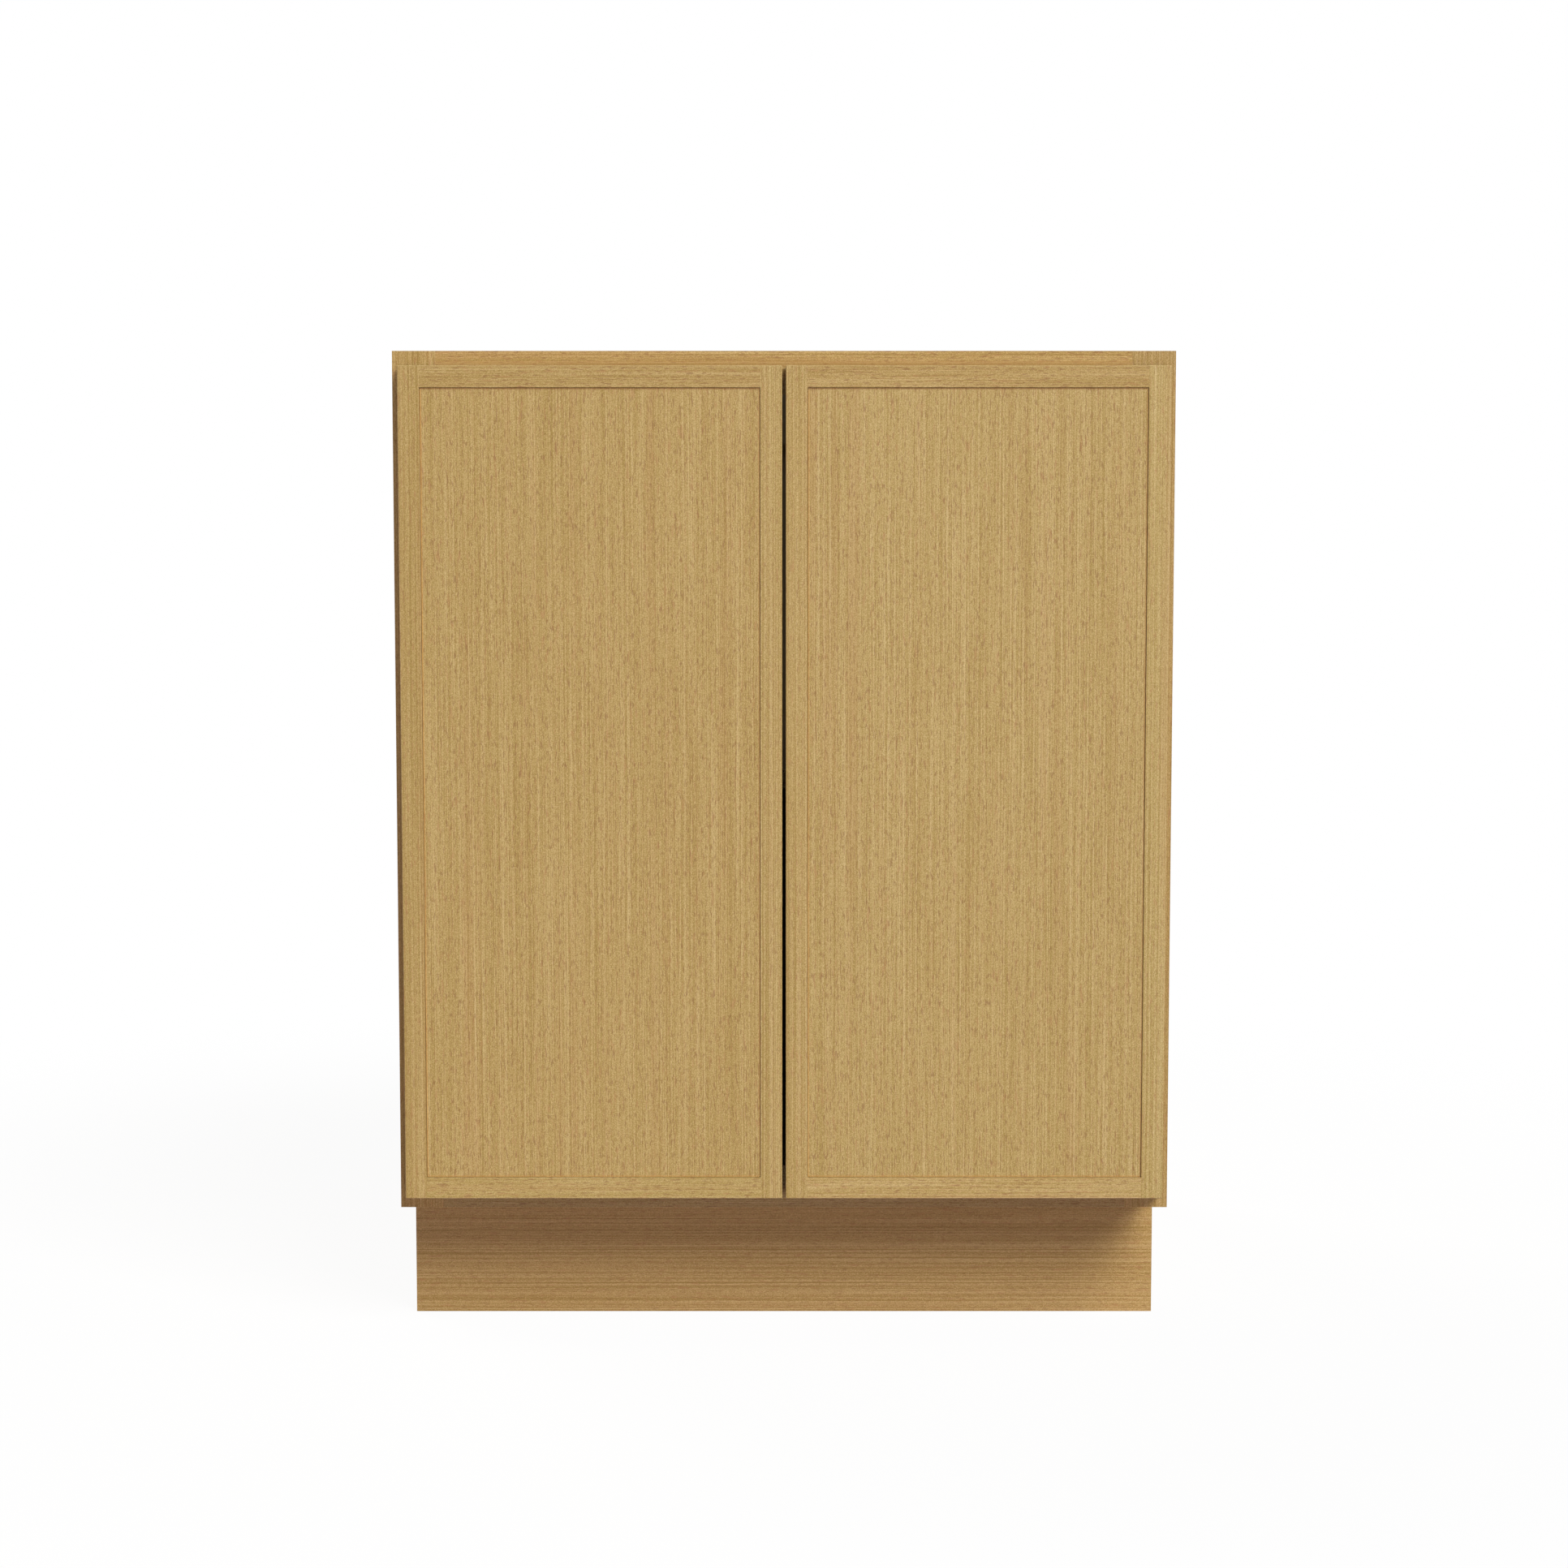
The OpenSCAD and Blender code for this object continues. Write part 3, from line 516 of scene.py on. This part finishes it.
def moulded_material(name, base, roughness, spark):
    """Moulded plastic with the fine even texture that a spark-eroded mould leaves."""
    material, tree, shader = new_material(name)
    grain = grit(tree, spark)
    flow = add(tree, "MapRange", (grit(tree, 40 * spark, detail=1.0), 0.35, 0.7), **SMOOTH)
    shader.inputs["IOR"].default_value = NYLON_IOR
    rough = add(tree, "Math", (grain, NYLON_SWING, roughness), operation="MULTIPLY_ADD")
    surface(tree, shader, patchy(tree, flow, base, 0.93), rough)
    emboss(tree, shader, grain, strength=0.2, depth=0.04 * MM)
    return material


def gel_material(name, base):
    """Clear cast polyurethane gel: soft, glossy and slightly milky."""
    material, tree, shader = new_material(name)
    milk = grit(tree, 2 * MM)
    shader.inputs["IOR"].default_value = GEL_IOR
    shader.inputs["Transmission Weight"].default_value = 0.6
    rough = add(tree, "Math", (milk, GEL_SWING, 0.15), operation="MULTIPLY_ADD")
    surface(tree, shader, patchy(tree, milk, base, 0.9), rough)
    return material


def dress(node, material):
    """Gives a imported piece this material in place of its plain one."""
    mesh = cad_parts[node].data
    for index in range(len(mesh.materials)):
        mesh.materials[index] = material
    if not mesh.materials:
        mesh.materials.append(material)


# Each oak piece: its grain's direction, its tint, and how coarse and how long its figure is
OAK_BOARDS = {
    "top_frame_rail": ("X", "#FAF4EC", 1.2, 1.0),
    # The bottom rail's darker tint is painted shade, from the doors just above it
    "bottom_frame_rail": ("X", "#E0DEE1", 1.2, 1.0),
    "left_frame_stile": ("Z", "#F2EDE5", 1.3, 2.5),
    "right_frame_stile": ("Z", "#ECE7E3", 1.3, 2.5),
    "toe_board": ("X", "#F2EAE4", 1.3, 3.0),
    "shelf_edge": ("X", "#F2F2F2", 1.0, 1.0),
    "left_door_hinge_stile": ("Z", "#F2F2EB", 1.3, 2.5),
    "left_door_latch_stile": ("Z", "#F5F7F4", 1.1, 2.4),
    "left_door_top_rail": ("X", "#EEECE2", 1.2, 1.0),
    "left_door_bottom_rail": ("X", "#F6F9F3", 1.2, 1.0),
    "left_door_panel": ("Z", "#F5F6F1", 1.0, 1.0),
    "right_door_hinge_stile": ("Z", "#FAFFFF", 1.3, 2.5),
    "right_door_latch_stile": ("Z", "#F6F7F4", 1.1, 2.4),
    "right_door_top_rail": ("X", "#EFECE2", 1.2, 1.0),
    "right_door_bottom_rail": ("X", "#FBFCFC", 1.2, 1.0),
    "right_door_panel": ("Z", "#F8FBFA", 1.0, 1.0),
}


# Each plywood piece: the axis across its plies, and its face's grain
PLYWOOD_BOARDS = {
    "left_side": ("X", "Z"),
    "right_side": ("X", "Z"),
    "deck": ("Z", "X"),
    "back_panel": ("Y", "Z"),
    "upper_hanging_rail": ("Y", "X"),
    "lower_hanging_rail": ("Y", "X"),
    "toe_backer": ("Y", "X"),
    "shelf": ("Z", "X"),
}


def solids_of(node):
    """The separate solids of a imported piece, each as its points."""
    mesh = bmesh.new()
    mesh.from_mesh(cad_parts[node].data)
    bmesh.ops.remove_doubles(mesh, verts=mesh.verts, dist=1e-6)
    left = set(mesh.verts)
    groups = []
    while left:
        queue = [left.pop()]
        group = []
        while queue:
            vert = queue.pop()
            group.append(vert.co.copy())
            for edge in vert.link_edges:
                other = edge.other_vert(vert)
                if other in left:
                    left.remove(other)
                    queue.append(other)
        groups.append(group)
    mesh.free()
    return sorted(groups, key=lambda group: tuple(sum(group, Vector())))


def finish_mesh(name, shell, body, material, replaced_node):
    """Makes a named piece of a bmesh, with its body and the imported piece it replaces."""
    bmesh.ops.recalc_face_normals(shell, faces=shell.faces)
    mesh = bpy.data.meshes.new(name)
    shell.to_mesh(mesh)
    shell.free()
    mesh.materials.append(material)
    piece = bpy.data.objects.new(name, mesh)
    bpy.context.scene.collection.objects.link(piece)
    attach(piece, body)
    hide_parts(replaced_node)


def turned(profile, steps):
    """A bmesh turned about Z from (radius, height) points that start and end on the axis."""
    shell = bmesh.new()
    verts = [shell.verts.new((radius, 0, height)) for radius, height in profile]
    edges = [shell.edges.new(pair) for pair in zip(verts, verts[1:])]
    bmesh.ops.spin(shell, geom=verts + edges, cent=(0, 0, 0), axis=(0, 0, 1), dvec=(0, 0, 0),
                   angle=2 * math.pi, steps=steps, use_merge=True)
    bmesh.ops.remove_doubles(shell, verts=shell.verts, dist=1e-7)
    bmesh.ops.recalc_face_normals(shell, faces=shell.faces)
    return shell


# A cross recess's depth as a share of the head's, its length at its foot as a share of that at its
# top, and how far its cutter stands out of the head
RECESS_DEPTH = 0.8
RECESS_TAPER = 0.55
PAST = 0.2 * MM


def cross_recess(head_h, hardware):
    """A cutter for a cross recess: two bars that taper downwards."""
    cutter = bmesh.new()
    for turn in (0, math.pi / 2):
        bar = bmesh.ops.create_cube(cutter, size=1)["verts"]
        for vert in bar:
            top = vert.co.z > 0
            vert.co.x *= hardware.recess_l * (1 if top else RECESS_TAPER)
            vert.co.y *= hardware.recess_w
            vert.co.z = head_h + PAST if top else head_h * (1 - RECESS_DEPTH)
        bmesh.ops.rotate(cutter, verts=bar, cent=(0, 0, 0),
                         matrix=Matrix.Rotation(turn, 3, "Z"))
    return cutter


def cut(shell, cutter):
    """shell with cutter taken out of it."""
    objects = []
    for part in (shell, cutter):
        mesh = bpy.data.meshes.new("cut")
        part.to_mesh(mesh)
        part.free()
        objects.append(bpy.data.objects.new("cut", mesh))
        bpy.context.scene.collection.objects.link(objects[-1])
    boolean = objects[0].modifiers.new("recess", "BOOLEAN")
    boolean.operation = "DIFFERENCE"
    boolean.solver = "EXACT"
    boolean.use_self = True
    boolean.object = objects[1]
    bpy.context.view_layer.update()
    result = bmesh.new()
    result.from_object(objects[0], bpy.context.evaluated_depsgraph_get())
    for part in objects:
        bpy.data.meshes.remove(part.data)
    return result


# A pan head's outline, from its middle to its rim, as shares of its radius and height
PAN_HEAD = ((0, 1), (0.45, 1), (0.72, 0.86), (0.92, 0.55), (1, 0.2), (1, 0))
HEAD_STEPS = 24

# A screw's point in shank radii, the share of its reach without a thread, and its thread's sizes
POINT_L = 1.6
PLAIN_SHARE = 0.28
THREAD_STEPS = 12
THREAD_SINK = 0.1 * MM
THREAD_BASE = 0.5 * MM


def screw_shell(head_r, head_h, shank_r, reach, hardware):
    """A pan-head wood screw with a cross recess, a thread and a point. Z points out of its head."""
    head = [(head_r * out, head_h * up) for out, up in PAN_HEAD]
    point_l = POINT_L * shank_r
    shell = turned([*head, (shank_r, 0), (shank_r, point_l - reach), (0, -reach)], HEAD_STEPS)
    shell = cut(shell, cross_recess(head_h, hardware))
    turns = max(1, round(((1 - PLAIN_SHARE) * reach - point_l) / hardware.thread_pitch))
    root = shank_r - THREAD_SINK
    top = -PLAIN_SHARE * reach
    crest = root + hardware.thread_h
    corners = [(root, top), (crest, top - THREAD_BASE / 2), (root, top - THREAD_BASE)]
    verts = [shell.verts.new((radius, 0, height)) for radius, height in corners]
    face = shell.faces.new(verts)
    bmesh.ops.spin(shell, geom=[face], cent=(0, 0, 0), axis=(0, 0, 1),
                   dvec=(0, 0, -hardware.thread_pitch / THREAD_STEPS), angle=2 * math.pi * turns,
                   steps=THREAD_STEPS * turns, use_merge=False)
    bmesh.ops.recalc_face_normals(shell, faces=shell.faces)
    return shell


# Parts of a head's radius: past the first lies its rim, and no shank is thinner than the second
RIM_PART = 0.98
SHANK_PART = 0.3


def screw_frame(points):
    """Where a packed screw stands: its head's underside, the way out of its head, and its sizes."""
    low = Vector([min(p[i] for p in points) for i in range(3)])
    high = Vector([max(p[i] for p in points) for i in range(3)])
    span = high - low
    axis = max(range(3), key=lambda i: span[i])
    across = [i for i in range(3) if i != axis]
    centre = (low + high) / 2
    head_r = span[across[0]] / 2

    def off_axis(point):
        return Vector([point[i] - centre[i] for i in across]).length

    rim = [p[axis] for p in points if off_axis(p) > RIM_PART * head_r]
    out = 1 if sum(rim) / len(rim) > centre[axis] else -1
    under = min(rim) if out > 0 else max(rim)
    end = high[axis] if out > 0 else low[axis]
    foot = low[axis] if out > 0 else high[axis]
    seat = centre.copy()
    seat[axis] = under
    direction = Vector((0, 0, 0))
    direction[axis] = out
    ring = [off_axis(p) for p in points if abs(p[axis] - under) < 1e-5]
    shank_r = max(min(ring, default=head_r / 2), SHANK_PART * head_r)
    return seat, direction, head_r, abs(end - under), shank_r, abs(under - foot)


def add_screws(node, body, material):
    """Threaded, cross-recessed screws in the place of a group of packed ones."""
    hardware = bpy.context.scene.cabinet_hardware
    together = bmesh.new()
    model = None
    for points in solids_of(node):
        seat, direction, head_r, head_h, shank_r, reach = screw_frame(points)
        if model is None:
            shell = screw_shell(head_r, head_h, shank_r, reach, hardware)
            model = bpy.data.meshes.new("screw")
            shell.to_mesh(model)
            shell.free()
        turn = Vector((0, 0, 1)).rotation_difference(direction).to_matrix().to_4x4()
        first = len(together.verts)
        together.from_mesh(model)
        together.verts.ensure_lookup_table()
        bmesh.ops.transform(together, matrix=Matrix.Translation(seat) @ turn,
                            verts=together.verts[first:])
    bpy.data.meshes.remove(model)
    finish_mesh(node + "_threaded", together, body, material, node)


class CABINET_OT_oak(bpy.types.Operator):
    """Gives the face frame, doors, toe board and shelf edge their oak"""
    bl_idname = "cabinet.oak"
    bl_label = "Finish the Oak Pieces"

    def execute(self, context):
        for seed, node in enumerate(OAK_BOARDS, start=1):
            dress(node, oak_material(node, seed))
        return {"FINISHED"}


class CABINET_OT_plywood(bpy.types.Operator):
    """Gives the sides, deck, back, rails and shelf their plywood"""
    bl_idname = "cabinet.plywood"
    bl_label = "Finish the Plywood Pieces"

    def execute(self, context):
        for seed, (node, (across, grain)) in enumerate(PLYWOOD_BOARDS.items(), start=31):
            oak_outside = node in ("left_side", "right_side")
            dress(node, plywood_material(
                "birch_plywood_" + node, node, across, grain, seed, oak_outside))
        dowel = plywood_material("beech_dowel", "frame_dowels", across="Y", grain="X", seed=50)
        dress("frame_dowels", dowel)
        return {"FINISHED"}


class CABINET_OT_hinges(bpy.types.Operator):
    """Gives the hinge cups, arms, plates and pins, and the shelf pins, their plated steel"""
    bl_idname = "cabinet.hinges"
    bl_label = "Finish the Hinges"

    def execute(self, context):
        hardware = context.scene.cabinet_hardware
        nickel = plated_material("nickel_plated_steel", hardware.nickel, 0.3, 0.4 * MM)
        drawn = plated_material("drawn_steel", hardware.zinc, 0.22, 0.2 * MM)
        for side in SIDES:
            for level in LEVELS:
                for piece in ("cup", "arm", "plate"):
                    dress(f"{side}_{level}_{piece}", nickel)
                dress(f"{side}_{level}_pin", drawn)
        dress("shelf_pins", nickel)
        return {"FINISHED"}


class CABINET_OT_braces(bpy.types.Operator):
    """Gives the corner braces their moulded nylon"""
    bl_idname = "cabinet.braces"
    bl_label = "Finish the Corner Braces"

    def execute(self, context):
        hardware = context.scene.cabinet_hardware
        nylon = moulded_material("moulded_nylon", hardware.nylon, 0.42, 0.35 * MM)
        for end in ("front", "rear"):
            for side in SIDES:
                dress(f"{end}_{side}_brace", nylon)
        return {"FINISHED"}


class CABINET_OT_screws(bpy.types.Operator):
    """Models the threaded screws of the braces and hinges"""
    bl_idname = "cabinet.screws"
    bl_label = "Add the Screws"

    def execute(self, context):
        hardware = context.scene.cabinet_hardware
        zinc = plated_material("bright_zinc_plate", hardware.zinc, 0.28, 0.3 * MM)
        for node in ("brace_screws", "plate_screws", "arm_screws"):
            add_screws(node, "case", zinc)
        for side in SIDES:
            add_screws(f"{side}_cup_screws", f"{side}_door", zinc)
        return {"FINISHED"}


class CABINET_OT_bumpers(bpy.types.Operator):
    """Gives the domed bumpers behind the doors their clear gel"""
    bl_idname = "cabinet.bumpers"
    bl_label = "Finish the Door Bumpers"

    def execute(self, context):
        gel = gel_material("clear_gel", context.scene.cabinet_hardware.gel)
        for side in SIDES:
            dress(f"{side}_door_bumpers", gel)
        return {"FINISHED"}


def seen_white(tree):
    """1 for a ray that sees the backdrop white, from the camera, a reflection or a clear piece."""
    seen = add(tree, "LightPath", out="Is Camera Ray")
    for way in ("Is Glossy Ray", "Is Transmission Ray"):
        ray = add(tree, "LightPath", out=way)
        seen = add(tree, "Math", (seen, ray), operation="MAXIMUM")
    return seen


# The round floor's radius in metres, its sides, and how little it lies under the cabinet's foot
FLOOR_RADIUS = 9.0
FLOOR_SIDES = 64
FLOOR_DROP = 0.2 * MM

# Distances from the cabinet's middle between which its shadow fades out, in metres
SHADOW_FADE = (0.7, 1.6)

# Heights in the sky, from 0 at the horizon to 1 overhead, between which the even light drops
FILL_FADE = (0.12, 0.42)

# Height in metres that the lights are aimed at, about half the cabinet's
AIM_HEIGHT = 0.45

# Width of the camera's sensor in millimetres, and how far the camera sees in metres
SENSOR_W = 36
SIGHT_END = 50


def floor_material(stage):
    """Seamless white paper that shows white, with a faint share of the shadow near the cabinet."""
    material, tree, face = bare_material("white_paper_floor")
    place = add(tree, "TexCoord", out="Object")
    away = add(tree, "VectorMath", [place], operation="LENGTH")
    far = add(tree, "MapRange", (away, *SHADOW_FADE), **SMOOTH)
    near = add(tree, "Math", (1.0, far), operation="SUBTRACT")
    shown = add(tree, "Math", (near, stage.floor_shadow), operation="MULTIPLY")
    seen = seen_white(tree)
    share = add(tree, "MapRange", {"Value": seen, "To Min": 1.0, "To Max": shown})
    tone = add(tree, "Mix", (seen, stage.paper, WHITE), **COLOURS)
    paper = add(tree, "BsdfDiffuse", {"Color": tone})
    white = add(tree, "Emission", {"Color": WHITE, "Strength": 1.0})
    tree.links.new(add(tree, "MixShader", (share, white, paper)), face)
    return material


def net_material(stage):
    """Black net: an open weave that passes a small even share of the light."""
    material, tree, face = bare_material("black_net")
    shadow = add(tree, "LightPath", out="Is Shadow Ray")
    share = add(tree, "MapRange", {
        "Value": shadow, "To Min": stage.net_fill, "To Max": stage.net_pass})
    tree.links.new(add(tree, "BsdfTransparent", {"Color": share}), face)
    return material


class CABINET_OT_stage(bpy.types.Operator):
    """Sets up the floor, the even light, the two lights, the net over the top and the camera"""
    bl_idname = "cabinet.stage"
    bl_label = "Set the Stage"

    def execute(self, context):
        scene = context.scene
        stage = scene.cabinet_stage
        scene.view_settings.view_transform = "Standard"
        self.add_floor(scene, stage)
        self.add_world(scene, stage)
        self.add_light(scene, stage, "key", stage.key_power, WHITE,
                       (stage.key_side, -1, stage.key_rise))
        self.add_light(scene, stage, "rim", stage.rim_power, stage.rim_tint,
                       (stage.rim_side, 1, stage.rim_rise))
        self.add_net(scene, stage)
        self.add_camera(scene, stage)
        return {"FINISHED"}

    def add_floor(self, scene, stage):
        """A round sheet of white paper under the cabinet, which ends out of sight."""
        shell = bmesh.new()
        bmesh.ops.create_circle(shell, cap_ends=True, segments=FLOOR_SIDES, radius=FLOOR_RADIUS)
        mesh = bpy.data.meshes.new("floor")
        shell.to_mesh(mesh)
        shell.free()
        mesh.materials.append(floor_material(stage))
        floor = bpy.data.objects.new("floor", mesh)
        floor.location.z = -FLOOR_DROP
        scene.collection.objects.link(floor)

    def add_world(self, scene, stage):
        """An even light that is weaker from above, and a white backdrop."""
        world = bpy.data.worlds.new("studio")
        world.use_nodes = True
        tree = world.node_tree
        light = tree.nodes["Background"]
        seen = seen_white(tree)
        way = add(tree, "TexCoord", out="Generated")
        height = add(tree, "SeparateXYZ", [way], out="Z")
        high = add(tree, "MapRange", (height, *FILL_FADE), **SMOOTH)
        fill = add(tree, "MapRange", {
            "Value": high, "To Min": stage.fill, "To Max": stage.fill_above})
        strength = add(tree, "MapRange", {"Value": seen, "To Min": fill, "To Max": 1.0})
        tint = add(tree, "Mix", (seen, stage.fill_tint, WHITE), **COLOURS)
        tree.links.new(strength, light.inputs["Strength"])
        tree.links.new(tint, light.inputs["Color"])
        scene.world = world

    def add_light(self, scene, stage, name, watts, tint, way):
        """A large square light, aimed at the middle of the cabinet's front from this direction."""
        data = bpy.data.lights.new(name, "AREA")
        data.shape = "SQUARE"
        data.size = stage.light_size
        data.energy = watts
        data.color = tint
        data.cycles.use_multiple_importance_sampling = False
        light = bpy.data.objects.new(name, data)
        direction = Vector(way).normalized()
        light.location = Vector((0, frame_front_y, AIM_HEIGHT)) + direction * stage.light_away
        light.rotation_euler = direction.to_track_quat("Z", "Y").to_euler()
        scene.collection.objects.link(light)

    def add_net(self, scene, stage):
        """An unseen net over the open top that keeps most of the light out of the case."""
        low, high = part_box("front_left_brace")
        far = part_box("rear_right_brace")[1]
        reach = high.x - low.x
        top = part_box("left_side")[1].z + stage.net_above
        shell = bmesh.new()
        corners = bmesh.ops.create_grid(shell, size=0.5)["verts"]
        for vert in corners:
            vert.co.x *= far.x - low.x
            vert.co.y = low.y + (vert.co.y + 0.5) * (far.y - low.y)
            vert.co.z = top
        bmesh.ops.bevel(shell, geom=corners, offset=reach, affect="VERTICES",
                        segments=1, profile=0.5, material=-1)
        mesh = bpy.data.meshes.new("net")
        shell.to_mesh(mesh)
        shell.free()
        mesh.materials.append(net_material(stage))
        net = bpy.data.objects.new("net", mesh)
        net.visible_camera = False
        scene.collection.objects.link(net)

    def add_camera(self, scene, stage):
        """The camera in the place from which the photograph was taken."""
        data = bpy.data.cameras.new("camera")
        data.lens = stage.lens
        data.sensor_width = SENSOR_W
        data.clip_end = SIGHT_END
        camera = bpy.data.objects.new("camera", data)
        camera.location = (0, frame_front_y - stage.camera_back, stage.camera_up)
        camera.rotation_euler = (math.pi / 2 - stage.camera_tilt, 0, 0)
        scene.collection.objects.link(camera)
        scene.camera = camera


class CABINET_PT_panel(bpy.types.Panel):
    """The cabinet's steps and settings"""
    bl_label = "Oak Base Cabinet"
    bl_idname = "CABINET_PT_panel"
    bl_space_type = "VIEW_3D"
    bl_region_type = "UI"
    bl_category = "Cabinet"

    def draw(self, context):
        layout = self.layout
        for step in STEPS:
            layout.operator("cabinet." + step)
        for name, group in GROUPS.items():
            box = layout.box()
            for key in group.__annotations__:
                box.prop(getattr(context.scene, name), key)


STEPS = ("oak", "plywood", "hinges", "braces", "screws", "bumpers", "stage")
GROUPS = {"cabinet_oak": CabinetOak, "cabinet_plywood": CabinetPlywood,
          "cabinet_hardware": CabinetHardware, "cabinet_stage": CabinetStage}
CLASSES = (*GROUPS.values(), CABINET_OT_oak, CABINET_OT_plywood, CABINET_OT_hinges,
           CABINET_OT_braces, CABINET_OT_screws, CABINET_OT_bumpers, CABINET_OT_stage,
           CABINET_PT_panel)


def register():
    for kind in CLASSES:
        bpy.utils.register_class(kind)
    for name, group in GROUPS.items():
        setattr(bpy.types.Scene, name, bpy.props.PointerProperty(type=group))


def unregister():
    for name in GROUPS:
        delattr(bpy.types.Scene, name)
    for kind in reversed(CLASSES):
        bpy.utils.unregister_class(kind)


def main():
    register()
    for step in STEPS:
        getattr(bpy.ops.cabinet, step)()


if __name__ == "__main__":
    main()
